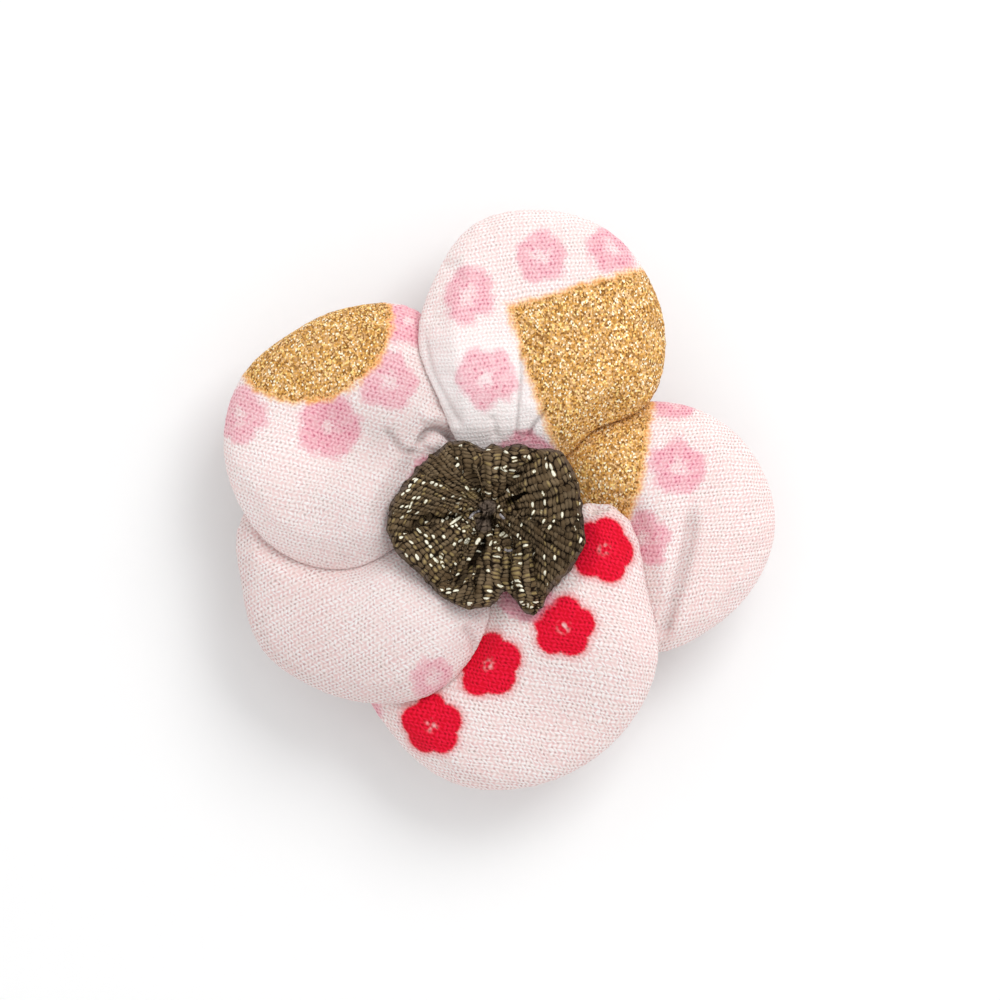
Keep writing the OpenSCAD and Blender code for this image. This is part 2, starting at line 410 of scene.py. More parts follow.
def surface_at(tree, place, side=1):
    """Where a piece's top, or for side -1 its underside, is over x and y in millimetres, if it is."""
    x, y = place * MM
    return tree.ray_cast(Vector((x, y, side)), Vector((0, 0, -side)))[0]


def cut_net(name):
    """A petal's pad as an even net of small squares, at the size that it is simulated at."""
    net = add(name + "_cloth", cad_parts[name].data.copy())
    net.data.transform(Matrix.Scale(SIM_SCALE, 4))
    remesh = net.modifiers.new("net", "REMESH")
    remesh.mode = "VOXEL"
    remesh.voxel_size = NET * MM * SIM_SCALE
    apply_modifiers(net)
    write_points(net.data, relaxed(read_points(net.data), read_edges(net.data), NET_RELAXED))
    return net


def stuff(net):
    """Gives a net the stuffing that swells it, and the extra cloth that is gathered at its neck."""
    points = read_points(net.data)
    normals = read_normals(net.data)
    write_points(net.data, points - START_INSET * MM * SIM_SCALE * normals)
    group = net.vertex_groups.new(name="gathered")
    away = away_from(points / (MM * SIM_SCALE), GATHER_POINT)
    share = 1 - smooth((away - GATHER_NEAR) / (GATHER_FAR - GATHER_NEAR))
    for number in np.nonzero(share > 0)[0]:
        group.add([int(number)], float(share[number]), "REPLACE")
    cloth = net.modifiers.new("stuffing", "CLOTH")
    cloth.settings.quality = SIM_QUALITY
    cloth.settings.use_pressure = True
    cloth.settings.uniform_pressure_force = STUFFING
    cloth.settings.effector_weights.gravity = 0
    cloth.settings.vertex_group_shrink = group.name
    cloth.settings.shrink_min = 0
    cloth.settings.shrink_max = GATHERED
    cloth.point_cache.frame_start = 1
    cloth.point_cache.frame_end = SIM_FRAMES


def hold_back(name, start, moved):
    """Keeps each point near its start, and clear of the pieces that it lies on or under."""
    others = [search_tree(o.data) for n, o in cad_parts.items() if n != name]
    limit = np.zeros(len(start))
    for number, point in enumerate(start / SIM_SCALE):
        nearest = min(tree.find_nearest(Vector(point))[3] for tree in others)
        limit[number] = min(MOST_MOVE * MM, SHARE_OF_GAP * nearest)
    move = moved - start
    sideways = np.maximum(np.hypot(move[:, 0], move[:, 1]), 1e-12)
    move[:, :2] *= np.minimum(1, MOST_SIDEWAYS * MM * SIM_SCALE / sideways)[:, None]
    length = np.maximum(np.linalg.norm(move, axis=1), 1e-12)
    return start + move * np.minimum(1, limit * SIM_SCALE / length)[:, None]


def curve(line, steps=6):
    """A smooth line through a few points."""
    ends = [2 * np.array(line[0]) - line[1], *map(np.array, line), 2 * np.array(line[-1]) - line[-2]]
    smoothed = []
    for a, b, c, d in zip(ends, ends[1:], ends[2:], ends[3:]):
        for f in np.arange(steps) / steps:
            smoothed.append(0.5 * (2 * b + (c - a) * f + (2 * a - 5 * b + 4 * c - d) * f * f
                                   + (3 * b - a - 3 * c + d) * f ** 3))
    return [*smoothed, np.array(line[-1])]


def nearest_on_line(places, line):
    """How far each place is from a line of points, and how far along the line that is, 0 to 1."""
    line = np.array(line)
    steps = np.diff(line, axis=0)
    lengths = np.hypot(*steps.T)
    before = np.concatenate([[0], np.cumsum(lengths)])
    best = np.full(len(places), np.inf)
    along = np.zeros(len(places))
    for start, step, length, done in zip(line, steps, lengths, before):
        share = np.clip((places - start) @ step / length ** 2, 0, 1)
        away = np.hypot(*(places - start - share[:, None] * step).T)
        closer = away < best
        best[closer] = away[closer]
        along[closer] = (done + share[closer] * length) / before[-1]
    return best, along


def beside_line(places, line, half_width, ends):
    """1 on a line, going softly down to 0 beside it, and at its ends as they say."""
    away, along = nearest_on_line(places, curve(line))
    rise, start, fall, end = ends
    fade = smooth(along / rise + start) * smooth((1 - along) / fall + end)
    return fade * np.exp(-(away / half_width) ** 2)


def crease(name, points, normals):
    """Presses a petal's creases into its front, and says how much painted shade each point gets."""
    pressed, raised, painted_crease_shade = (np.zeros(len(points)) for _ in range(3))
    for half_width, deep, painted_darkness, line in CREASES[name]:
        share = beside_line(points[:, :2], line, half_width, CREASE_ENDS)
        pressed = np.maximum(pressed, deep * share)
        raised = np.maximum(raised, -deep * share)
        painted_crease_shade = np.maximum(painted_crease_shade, painted_darkness * share)
    moved = points + ((raised - pressed) * smooth(normals[:, 2] / FACING_UP))[:, None] * normals
    return moved, painted_crease_shade


def outline_reach(tree, middle, turns):
    """How far a piece's outline is from its middle, in each direction."""
    reach = np.zeros(turns)
    for i in range(turns):
        direction = heading(2 * math.pi * i / turns)
        inside, outside = 0.0, FLAT_FAR
        for _ in range(HALVINGS):
            away = (inside + outside) / 2
            if surface_at(tree, middle + away * direction):
                inside = away
            else:
                outside = away
        reach[i] = inside
    return reach


def turn_of(offset):
    """The direction of each offset, in steps of the table that lays a petal's cloth flat."""
    return np.arctan2(offset[..., 1], offset[..., 0]) / (2 * math.pi) * FLAT_TURNS % FLAT_TURNS


def fit_outline(name, points, mesh, middle):
    """Moves a pad's rim out to the outline of the solid that it replaces."""
    outlines = [outline_reach(search_tree(outlined), middle, FLAT_TURNS)
                for outlined in (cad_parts[name].data, mesh)]
    offset = points[:, :2] - middle
    away = np.hypot(*offset.T)
    turns = np.arange(FLAT_TURNS + 1)
    wanted, reach = (np.interp(turn_of(offset), turns, np.append(values, values[0]))
                     for values in outlines)
    share = smooth((away / reach - FIT_FROM) / (1 - FIT_FROM))
    points[:, :2] += ((wanted - reach) * share / np.maximum(away, 1e-9))[:, None] * offset
    return points


class FlatCloth:
    """Says where a place on a petal lies on its cloth when that is laid flat round the middle."""

    def __init__(self, points, mesh, middle):
        self.middle = np.array(middle)
        self.radii = np.arange(0, FLAT_FAR, FLAT_STEP)
        tree = search_tree(mesh)
        self.front = self.heights(tree, 1)
        self.back = self.heights(tree, -1)
        offset = points[:, :2] - self.middle
        turn = np.round(turn_of(offset)).astype(int) % FLAT_TURNS
        away = np.hypot(*offset.T)
        self.reach = np.array([away[turn == t].max() for t in range(FLAT_TURNS)])
        self.rim_z = np.array([points[turn == t][away[turn == t].argmax(), 2]
                               for t in range(FLAT_TURNS)])
        for _ in range(RIM_SMOOTHED):
            self.rim_z = (self.rim_z + np.roll(self.rim_z, 1) + np.roll(self.rim_z, -1)) / 3

    def heights(self, tree, side):
        """Heights of the cloth's one side, and the way along it, for each direction and radius."""
        z = np.zeros((FLAT_TURNS, len(self.radii)))
        for i in range(FLAT_TURNS):
            direction = heading(2 * math.pi * i / FLAT_TURNS)
            for j, r in enumerate(self.radii):
                hit = surface_at(tree, self.middle + r * direction, side)
                z[i, j] = hit[2] / MM if hit else z[i, j - 1]
        way = np.hypot(FLAT_STEP, np.diff(z, axis=1)).cumsum(axis=1)
        return z, np.concatenate([np.zeros((FLAT_TURNS, 1)), way], axis=1)

    def look_up(self, table, turn, away):
        """A table's values at these directions and distances."""
        i = np.floor(turn).astype(int)
        j = np.minimum(np.floor(away / FLAT_STEP).astype(int), len(self.radii) - 2)
        f = turn - i
        g = away / FLAT_STEP - j
        near = table[i % FLAT_TURNS, j] * (1 - g) + table[i % FLAT_TURNS, j + 1] * g
        far = table[(i + 1) % FLAT_TURNS, j] * (1 - g) + table[(i + 1) % FLAT_TURNS, j + 1] * g
        return near * (1 - f) + far * f

    def polar(self, x, y):
        """The direction and distance of x, y from the middle."""
        offset = np.stack([x, y], axis=-1) - self.middle
        return turn_of(offset), np.hypot(offset[..., 0], offset[..., 1])

    def place(self, x, y, z=None, side=None):
        """The flat place of x, y on the front, or of x, y, z on the side that is given."""
        turn, away = self.polar(x, y)
        table, way = self.front if side is None or side > 0 else self.back
        out = self.look_up(way, turn, away)
        if z is not None:
            out = out + np.maximum(0, (self.look_up(table, turn, away) - z) * side)
        angle = turn / FLAT_TURNS * 2 * math.pi
        return self.middle[0] + out * np.cos(angle), self.middle[1] + out * np.sin(angle)

    def behind_rim(self, points):
        """How far each point is out towards the rim, 0 to 1, and how far below the seam it is."""
        turn, away = self.polar(points[:, 0], points[:, 1])
        i = np.floor(turn).astype(int)
        f = turn - i
        mixed = [table[i % FLAT_TURNS] * (1 - f) + table[(i + 1) % FLAT_TURNS] * f
                 for table in (self.reach, self.rim_z)]
        return away / mixed[0], mixed[1] - SEAM_BEHIND - points[:, 2]


def finish_petal(name, net, middle):
    """Makes a net into a petal at its real size, with its seam, its creases and its flat cloth."""
    write_points(net.data, read_points(net.data) / SIM_SCALE)
    finer = net.modifiers.new("finer", "SUBSURF")
    finer.levels = finer.render_levels = 1
    apply_modifiers(net)
    net.name = name + "_pad"
    net.data.name = net.name
    points = fit_outline(name, read_points(net.data) / MM, net.data, middle)
    points, painted_crease_shade = crease(name, points, read_normals(net.data))
    write_points(net.data, points * MM)
    normals = read_normals(net.data)
    cloth = FlatCloth(points, net.data, middle)
    outwards, below = cloth.behind_rim(points)
    near_rim = outwards > RIM_SHARE
    back = np.where(near_rim, below > 0, normals[:, 2] < 0)
    groove = np.where(near_rim, SEAM_DEPTH * np.exp(-(below / SEAM_WIDTH) ** 2), 0)
    flat_front = np.stack(cloth.place(points[:, 0], points[:, 1], points[:, 2], 1), 1)
    flat_back = np.stack(cloth.place(points[:, 0], points[:, 1], points[:, 2], -1), 1)
    flat = np.where(back[:, None], flat_back, flat_front)
    write_points(net.data, (points - groove[:, None] * normals) * MM)
    # The third number is 0 on the back, and 1 on the front plus the creases' painted shade
    write_attribute(net.data, "cloth", np.column_stack([flat, np.where(back, 0.0, 1.0 + painted_crease_shade)]))
    net.data.shade_smooth()
    return cloth


# Colours of the cloth: a thread's crown, lighter by painted light, its usual tone, and the gap
# between threads, darker by painted shade
GROUND = (linear(255, 252, 251), linear(244, 211, 209), linear(196, 156, 158))
PINK = (linear(250, 184, 197), linear(236, 152, 170), linear(186, 98, 118))
RED = (linear(248, 22, 62), linear(222, 0, 36), linear(150, 0, 14))
GOLD_GROUND = (linear(252, 205, 120), linear(242, 166, 72), linear(205, 120, 40))
INKS = {"pink": PINK, "red": RED}
# The grey that the pink of a thread and of a gap goes over to in places
GREY_THREAD = linear(248, 230, 225)
GREY_GAP = linear(180, 164, 158)
# How far out the painted shade and light by a petal's neck reach: from where on, and all of it from
# where inwards
NECK_REACH = (22.0, 13.0)
# Soft unevenness, in waves in a millimetre: threads pulled out of line, wear, grey patches, blots of
# ink, how the cloth has aged, and the wavering edge of the gold
PULL_WAVES = 0.22
WEAR_WAVES = 0.45
GREY_WAVES = 1.3
BLOT_WAVES = 0.55
AGE_WAVES = 0.12
GOLD_WAVES = 0.8
# Unevenness of the threads' spacing: how much of a thread they wander
WANDER = 0.9
# Height of the weave
WEAVE_DEPTH = 0.08 * MM
# How far a warp thread swings sideways round each weft thread, as a share of its pitch
CRIMP = 0.22
# Kinds of glitter flake, each from its share on. Their spread from dark to near white is partly the
# flakes' own tones and partly painted glints
FLAKES = [(0.0, linear(142, 94, 40)), (0.1, linear(170, 124, 68)), (0.24, linear(200, 144, 68)),
          (0.4, linear(208, 162, 108)), (0.56, linear(230, 174, 94)), (0.72, linear(240, 196, 140)),
          (0.85, linear(254, 220, 142)), (0.93, linear(255, 242, 210))]
FLAKE_SIZE = 0.155
FLAKE_STRAY = 0.8
# Half the width over which the glitter ends, as whole flakes
GLITTER_EDGE = 0.2
# How softly the straight edges of a gold area meet
GOLD_CORNER = 0.8


class Weave:
    """A plain weave of warp and weft threads, each given by its direction and pitch."""

    def __init__(self, place, warp, weft):
        pull = (place.noise(PULL_WAVES, out="Color") - 0.5) * 0.9
        threads = place + pull * (1.0, 1.0, 0.0)
        a, b = (threads.dot((*map(float, heading(math.radians(angle)) / pitch), 0.0))
                for angle, pitch in (warp, weft))
        counted = place.pair(a, b)
        a = a + ((counted * (0.7, 0.09, 0.0)).noise(1.0) - 0.5) * WANDER
        b = b + ((counted * (0.09, 0.7, 0.0) + 9.0).noise(1.0) - 0.5) * WANDER
        a = a + b.sum("COSINE", b * math.pi) * CRIMP
        wave_a = a.sum("SINE", a * math.pi)
        wave_b = b.sum("SINE", b * math.pi)
        over = wave_a * wave_b
        # Unevenness: from crossing to crossing, from thread to thread, within a thread, and from wear
        self.chance = (place.pair(a.sum("FLOOR", a + 0.5), b.sum("FLOOR", b + 0.5)) + 0.5).random()
        slub_a = (place.pair(x=a.sum("FLOOR", a)) + 0.5).random()
        slub_b = (place.pair(y=b.sum("FLOOR", b)) + 0.5).random()
        self.uneven = (counted * 2.1).noise(1.0, 1.0)
        self.worn = place.noise(WEAR_WAVES)
        self.soft = (self.chance - 0.5) * 0.6 + (self.uneven - 0.5) * 0.9 + (self.worn - 0.5) * 0.5
        warp_high = abs(wave_a) * (0.58 + over * 0.42) * (0.87 + slub_a * 0.26)
        weft_high = abs(wave_b) * (0.54 - over * 0.38) * (0.87 + slub_b * 0.26)
        self.height = warp_high.greatest(weft_high) * (0.55 + self.uneven * 0.5 + self.chance * 0.4)
        # Painted shade in the holes where the threads cross, uneven from hole to hole
        corner = (1 - abs(wave_a)) * (1 - abs(wave_b)) + (self.uneven - 0.5) * 0.5
        self.gap = corner.ramp(0.05, 0.6) * (0.15 + self.chance * 0.7 + (self.worn - 0.5) * 0.9)

    def colour(self, colours, other=None):
        """A woven colour: the usual tone, with painted light on the threads' crowns and painted shade
        in the gaps.
        """
        crown, tone, deep = colours
        # Painted light on the threads' crowns, where they stand highest
        thread = self.height.ramp(0.3, 0.9).blend(tone, crown)
        if other:
            share, grey_thread, grey_gap = other
            thread = (share * 0.4).blend(thread, grey_thread)
            deep = share.blend(deep, grey_gap)
        return self.gap.blend(thread, deep)


def blossom_distance(place, middle, turn, size):
    """How far outside a printed blossom a place is, and how far from its middle."""
    offset = place - (*map(float, middle), 0.0)
    x, y = offset.part(0), offset.part(1)
    away = x.sum("SQRT", x * x + y * y)
    fifth = x.sum("FRACT", y.sum("ARCTAN2", y, x) * (2.5 / math.pi) + (0.5 - turn / 72 + 5))
    lobe = x.sum("COSINE", (fifth - 0.5) * math.radians(72))
    out = LOBE_OUT * size
    return x.sum("SQRT", away * away + out * out - away * lobe * (2 * out)) - LOBE_R * size, away


def red_ink(weave, place, turn, outside, away):
    """Where red ink is: solid, bled a little way past its rim, and worn off in spots by its middle."""
    fuzzy = (weave.uneven - 0.5) * 0.5 + (weave.worn - 0.5) * 0.4 + (weave.chance - 0.5) * 0.12
    solid = (outside + fuzzy * 0.6).ramp(0.34, -0.26)
    bled = (outside + fuzzy).ramp(0.9, 0.0) * 0.34
    spots = (place * 1.7 + (turn * 1.7, 0.0, 0.0)).noise(1.0, 0.0).ramp(0.38, 0.72)
    bare = (away + fuzzy * 0.6).ramp(0.95, 0.15) * spots * 0.62
    return solid.greatest(bled) * (1 - bare)


def pink_ink(weave, strength, outside, away):
    """Where pink ink is: thin, blotted, and paler by its middle."""
    inked = (outside + weave.soft * 0.6).ramp(0.5, -0.4)
    bare = (away + weave.soft).ramp(1.25, 0.2) * 0.65
    return inked * (1 - bare) * strength * (0.6 + weave.uneven * 0.5 + (weave.chance - 0.5) * 0.4)


def side_of(place, start, end):
    """How far a place is to the right of the line from start to end."""
    along = np.array(end) - np.array(start)
    right = np.array([along[1], -along[0]]) / np.hypot(*along)
    return place.dot((*map(float, right), 0.0)) - float(right @ start)


def outside_gold(name, cloth, place):
    """How far outside its petal's gold area a place is, or None where the petal has none."""
    edges = [side_of(place, cloth.place(*start), cloth.place(*end))
             for line in GOLD_EDGES.get(name, []) for start, end in zip(line, line[1:])]
    if GOLD_DISC[0] == name:
        (x, y), radius = GOLD_DISC[1:]
        centre = cloth.place(x, y)
        rim = cloth.place(x, y - radius)
        radius = math.hypot(rim[0] - centre[0], rim[1] - centre[1])
        edges.append((place - (*map(float, centre), 0.0)).length() - radius)
    outside = edges[0] if edges else None
    for other in edges[1:]:
        outside = outside.sum("SMOOTH_MAX", outside, other, GOLD_CORNER)
    return outside


def cotton(name, cloth, warp, weft, painted_light_and_shade, painted_light_and_shade_by_neck):
    """The petal's material: plain weave in its threads' directions, blossoms, and gold glitter."""
    made, paint = new_material(name + "_cotton")
    seen = paint.of_mesh("cloth")
    side = seen.part(2)
    printed = side.ramp(0.4, 0.6)
    # The creases' painted shade, which darkens the base colour
    painted_crease_darkening = (side - 1.0).greatest(0.0)
    place = seen * (1.0, 1.0, 0.0)
    weave = Weave(place, warp, weft)
    greyed = place.noise(GREY_WAVES, 1.0).ramp(0.35, 0.65)
    colour = weave.colour(GROUND, (greyed, GREY_THREAD, GREY_GAP))
    by_neck = (place - (*map(float, cloth.place(*GATHER_POINT)), 0.0)).length().ramp(*NECK_REACH)
    # Painted light: the cloth goes over to white all over and by the neck where the value is below
    # zero
    paler = by_neck * max(-painted_light_and_shade_by_neck, 0.0) + max(-painted_light_and_shade, 0.0)
    colour = paler.blend(colour, GROUND[0])
    blotted = place + (place.noise(BLOT_WAVES, out="Color") - 0.5) * (1.6, 1.6, 0.0)
    for middle, turn, size, ink, strength in BLOSSOMS[name]:
        if ink == "red":
            distances = blossom_distance(place, cloth.place(*middle), turn, size)
            inked = red_ink(weave, place, turn, *distances)
        else:
            distances = blossom_distance(blotted, cloth.place(*middle), turn, size)
            inked = pink_ink(weave, strength, *distances)
        colour = (inked * printed).blend(colour, weave.colour(INKS[ink]))
    aged = place.noise(AGE_WAVES, 1.0).ramp(0.3, 0.7)
    colour = aged.blend(colour, colour * (0.985, 0.97, 0.965))
    # Painted shade: the cloth is darkened all over and by the neck where the value is above zero
    colour = colour * (1 - max(painted_light_and_shade, 0.0) - by_neck * max(painted_light_and_shade_by_neck, 0.0))
    rough = 0.82 + weave.height * 0.1
    high = weave.height
    sockets = {}
    outside = outside_gold(name, cloth, place)
    if outside:
        outside = outside + weave.soft * 0.35 + (place.noise(GOLD_WAVES) - 0.5) * 1.1
        halo = outside.ramp(1.0, 0.1) * (0.7 + weave.uneven * 0.5) * printed
        colour = (halo * 0.9).blend(colour, weave.colour(GOLD_GROUND))
        flakes = place * (1.0, 0.8, 1.0)
        tone = flakes.cells(1 / FLAKE_SIZE, FLAKE_STRAY, "Color").part(0)
        flake_tone_and_painted_glint = tone.node("ShaderNodeValToRGB", {"stops": FLAKES}, {"Fac": tone})
        between = flakes.cells(1 / FLAKE_SIZE, FLAKE_STRAY, "Distance").ramp(0.3, 0.75)
        glitter = (outside + (tone - 0.5) * 0.45).ramp(GLITTER_EDGE, -GLITTER_EDGE) * printed
        # The flakes carry painted glints, and painted shade where one flake meets the next
        colour = glitter.blend(colour, flake_tone_and_painted_glint * (1.0 + weave.uneven * 0.16 - between * 0.3))
        rough = rough - glitter * (0.1 + tone * 0.35)
        high = high * (1 - glitter * 0.7)
        sockets["Metallic"] = glitter * 0.15
    surface(paint,
            {**sockets, "Base Color": colour * (1 - painted_crease_darkening), "Roughness": rough,
             "Normal": high.bump(0.7, WEAVE_DEPTH)},
            {"Sheen Weight": 0.05, "Sheen Roughness": 0.4, "Specular IOR Level": 0.2})
    return made


nets = {name: cut_net(name) for name, *_ in PETALS}
starts = {name: read_points(net.data) for name, net in nets.items()}
for net in nets.values():
    stuff(net)
for number in range(1, SIM_FRAMES + 1):
    bpy.context.scene.frame_set(number)
for name, net in nets.items():
    apply_modifiers(net)
    moved = hold_back(name, starts[name], read_points(net.data))
    write_points(net.data, relaxed(moved, read_edges(net.data), 1))
bpy.context.scene.frame_set(1)
for name, middle, warp, weft, painted_light_and_shade, painted_light_and_shade_by_neck in PETALS:
    petal = nets[name]
    flat = finish_petal(name, petal, middle)
    petal.data.materials.clear()
    petal.data.materials.append(cotton(name, flat, warp, weft, painted_light_and_shade, painted_light_and_shade_by_neck))
    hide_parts(name)
    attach(petal, "root")


# The rosette: a round of dark ribbed knit with a gold metallic yarn, gathered on a thread at its
# middle so that it puffs into folds, with a rolled edge, and sewn down over the petals' necks.

HUB = np.array(GATHER_POINT)
# Steps round the rosette, and rings on its front and its underside
AROUND = 640
FRONT_RINGS = 136
BACK_RINGS = 12
# Steps in which the solid is measured from the middle out, and how near to its edge they go
PROFILE_STEPS = 48
PROFILE_END = 0.996
# How often the measured form is softened before the folds are pressed into it
SOFTENED = 4
# Height of a rib, and of a stitch on it
RIB_DEPTH = 0.15
STITCH_DEPTH = 0.13
# How far the stitches stray from their ribs and rows, as a share of a stitch, and where that puts
# their middles
STRAY = 0.45
STITCH_MIDDLE = 0.5 - STRAY / 2
# No stitch glints nearer to the edge than this
GLINTS_FROM_EDGE = 0.5
# How far the hand-gathered ribs and stitches wander. Columns: spacing, share of a stitch
WANDERS = [(2.5, 0.4), (0.8, 0.16)]
# How far the boundaries between the folds wander: spacing, degrees
FOLDS_WANDER = (1.6, 10)
# How light the cloth is, at most, under the painted shade of the groove between two folds
FOLDS_MEET = 0.55
# Lumps of the folds. Columns: spacing, height
LUMPS = [(3.2, 0.4), (1.2, 0.24), (0.42, 0.07)]
# Width of the plain rolled edge and of its blend into the stitches, and how uneven it is: spacing,
# distance
EDGE = 0.14
EDGE_BLEND = 0.3
EDGE_UNEVEN = (0.9, 0.55)
# The share of a rib's or a stitch's height that lies below the cloth's own surface
BELOW_CLOTH = 0.6
# The relief has this share at the edge, and rises to its full height over this distance from there,
# and over this many rings from the hub
EDGE_SHARE = 0.3
EDGE_RELIEF = 1.2
HUB_RELIEF = 8
# The folds are pressed in fully where the cloth faces up at least this much
FOLDS_FACING = 0.5
# Layers of the soft random numbers for the folds' lumps, the edge and the folds' boundaries
LUMPS_LAYER = 8
EDGE_LAYER = 20
FOLDS_LAYER = 40
# How far the edge bulges in and out. Columns: spacing, distance
EDGE_BULGES = [(1.3, 0.34), (0.5, 0.24)]
# The gathered end under the middle, which the rosette is sewn down by: its radius, the softness of
# its side, and its length
STUB_R = 3.0
STUB_SOFT = 0.5
STUB = 1.9

# Folds. Columns: half width, depth, painted shade of the cloth in it, points
VALLEYS = [
    (0.18, 1.5, 1.0, [(1.9, 1.65), (2.6, 2.0), (3.2, 2.35), (4.0, 2.9)]),
    (0.28, 0.6, 0.35, [(2.8, 1.7), (3.2, 0.6), (3.6, -0.6), (4.0, -1.9)]),
    (0.10, 0.2, 0.8, [(-1.3, 0.2), (-0.3, 0.1), (0.8, 0.3), (0.85, -0.1), (0.6, -0.8), (0.1, -1.5)]),
    (0.38, 2.0, 1.1, [(-0.1, -1.8), (-0.4, -2.4), (-0.8, -3.2), (-1.3, -4.1), (-1.9, -4.8)]),
    (1.70, 0.0, 0.24, [(3.2, -0.6), (5.2, -2.2), (7.4, -4.4)]),
    (0.60, 0.7, 0.45, [(-1.0, -3.6), (-2.0, -5.1), (-3.0, -6.6)]),
    (0.15, 0.6, 0.85, [(-2.2, 0.3), (-2.9, -0.3), (-3.7, -1.1)]),
    (0.22, 0.6, 0.45, [(-2.9, 0.5), (-4.2, 0.2), (-5.9, 0.2), (-7.5, -0.7)]),
    (0.45, 0.4, 0.35, [(-6.4, -0.8), (-8.2, -1.2), (-9.8, -1.4)]),
    (0.24, 0.2, 0.1, [(-1.0, 3.6), (-1.9, 4.8), (-2.5, 6.0), (-3.2, 6.8)]),
    (0.30, 0.3, 0.4, [(-3.0, 7.4), (-3.3, 6.4), (-2.9, 5.6)]),
    (0.22, 0.4, 0.35, [(2.9, 2.4), (3.5, 3.8), (4.1, 5.4), (5.3, 6.5)]),
    (0.30, 0.6, 0.4, [(3.5, 1.1), (4.8, -0.2), (5.7, -1.3), (6.6, -2.4)]),
    (0.40, 0.4, 0.5, [(9.0, 0.6), (8.9, -1.2), (8.5, -2.8), (7.5, -4.4)]),
    (0.18, 0.6, 0.5, [(2.0, -2.6), (2.25, -4.8), (2.5, -6.9)]),
    (0.22, 0.5, 0.35, [(4.6, -2.7), (4.7, -4.9), (5.3, -6.5)]),
    (0.18, 0.4, 0.4, [(-0.8, -4.3), (-1.0, -5.8), (-1.1, -7.3)]),
    (3.20, 0.0, 0.17, [(6.6, 3.4), (8.2, 0.4), (7.2, -2.6)]),
]
# Rolls of cloth that stand up between them. Columns: half width, height, points
ROLLS = [
    (0.36, 0.50, [(2.1, 1.6), (2.6, 0.4), (2.9, -1.0)]),
    (0.90, 0.55, [(-2.2, -0.6), (-4.0, -2.2), (-6.6, -4.0)]),
    (1.00, 0.45, [(-2.4, 2.2), (-5.0, 1.5), (-7.8, 0.8)]),
    (0.80, 0.40, [(-1.6, 3.2), (-3.6, 4.4), (-5.6, 5.0)]),
    (0.90, 0.45, [(0.6, -2.4), (0.6, -4.6), (0.4, -6.8)]),
    (0.60, 0.40, [(3.9, 1.7), (5.3, 0.3), (6.4, -0.9)]),
    (0.80, 0.35, [(5.0, 3.6), (7.4, 4.1)]),
    (1.10, 0.50, [(-0.7, 1.0), (0.2, 1.1), (0.6, 0.9)]),
    (0.80, 0.45, [(-1.4, -0.4), (-0.5, -0.7), (0.2, -0.5)]),
    (0.60, 0.60, [(1.3, 0.7), (1.3, -0.4), (1.1, -1.6)]),
]
# Columns: share of a fold over which it comes up, how far up it starts, and both for its end
VALLEY_ENDS = (0.15, 0.4, 0.2, 0.4)
ROLL_ENDS = (0.2, 0.3, 0.4, 0.0)
# How much painted shade darkens a fold
FOLD_SHADE = 1.9
# A fold's ribs have their width this far out from the gather point. Each fold counts its ribs from
# this much further on than the fold before it, so two folds meet where the count makes a jump
RIB_WIDTH_AT = 6
RIBS_APART = 40
COUNT_JUMP = 2
# Knit of each fold, counter-clockwise from the first angle. Columns: angle where it ends, angle that
# its ribs run at, distance behind the gather point from which they spread, width of a rib, length
# and slant of a stitch, share that glint
FOLDS_FROM = -55
FOLDS = [
    (-10, -36, 14.0, 0.58, 0.42, 0.6, 0.08),
    (50, 14, 14.0, 0.80, 0.42, 0.1, 0.14),
    (104, 88, 26.0, 0.92, 0.44, -0.15, 0.12),
    (119, 102, 26.0, 0.80, 0.44, -0.15, 0.05),
    (150, 143, 14.0, 0.50, 0.40, -0.7, 0.04),
    (197, 157, 12.0, 0.50, 0.42, -0.7, 0.14),
    (238, 222, 12.0, 0.64, 0.44, 0.1, 0.18),
    (258, 243, 14.0, 0.56, 0.44, 0.5, 0.13),
    (305, 269, 60.0, 0.88, 0.44, 0.15, 0.24),
]
# The folded tab: the line that it lies along, its half width, how far it stands up, the softness of
# its sides and of its start, its ribs' width, its stitches' length and slant, the share that glint
TAB_LINE = [(3.5, -2.0), (3.55, -4.9), (4.0, -7.2), (4.4, -9.2)]
TAB_HALF = 1.05
TAB_RISE = 0.8
TAB_SOFT = (0.4, 1.5)
TAB_RIB = 0.9
TAB_STITCH = 0.44
TAB_SLANT = 0.15
TAB_GLINTS = 0.28
# The notch beside the tab and the tab's end, as distances past the solid. Columns: direction, distance
TAB_END = [(270, 0.0), (275, 0.1), (280, -0.45), (283, -0.75), (286, 0.0), (289, 0.9), (293, 0.75),
           (296, 0.40), (302, 0.55), (307, -0.15), (314, 0.0)]
# The plain patch where all the folds meet, as two rounds: their middles and radii
PATCH = [((0.1, 1.25), 0.95), ((-0.35, -0.4), 0.95)]
PATCH_RIB = 0.5
PATCH_BLEND = 0.4
# A pulled strand of the metal yarn has a shadow of this width and strength beside it
STRAND_BESIDE = 0.14
STRAND_SHADOW = 0.45
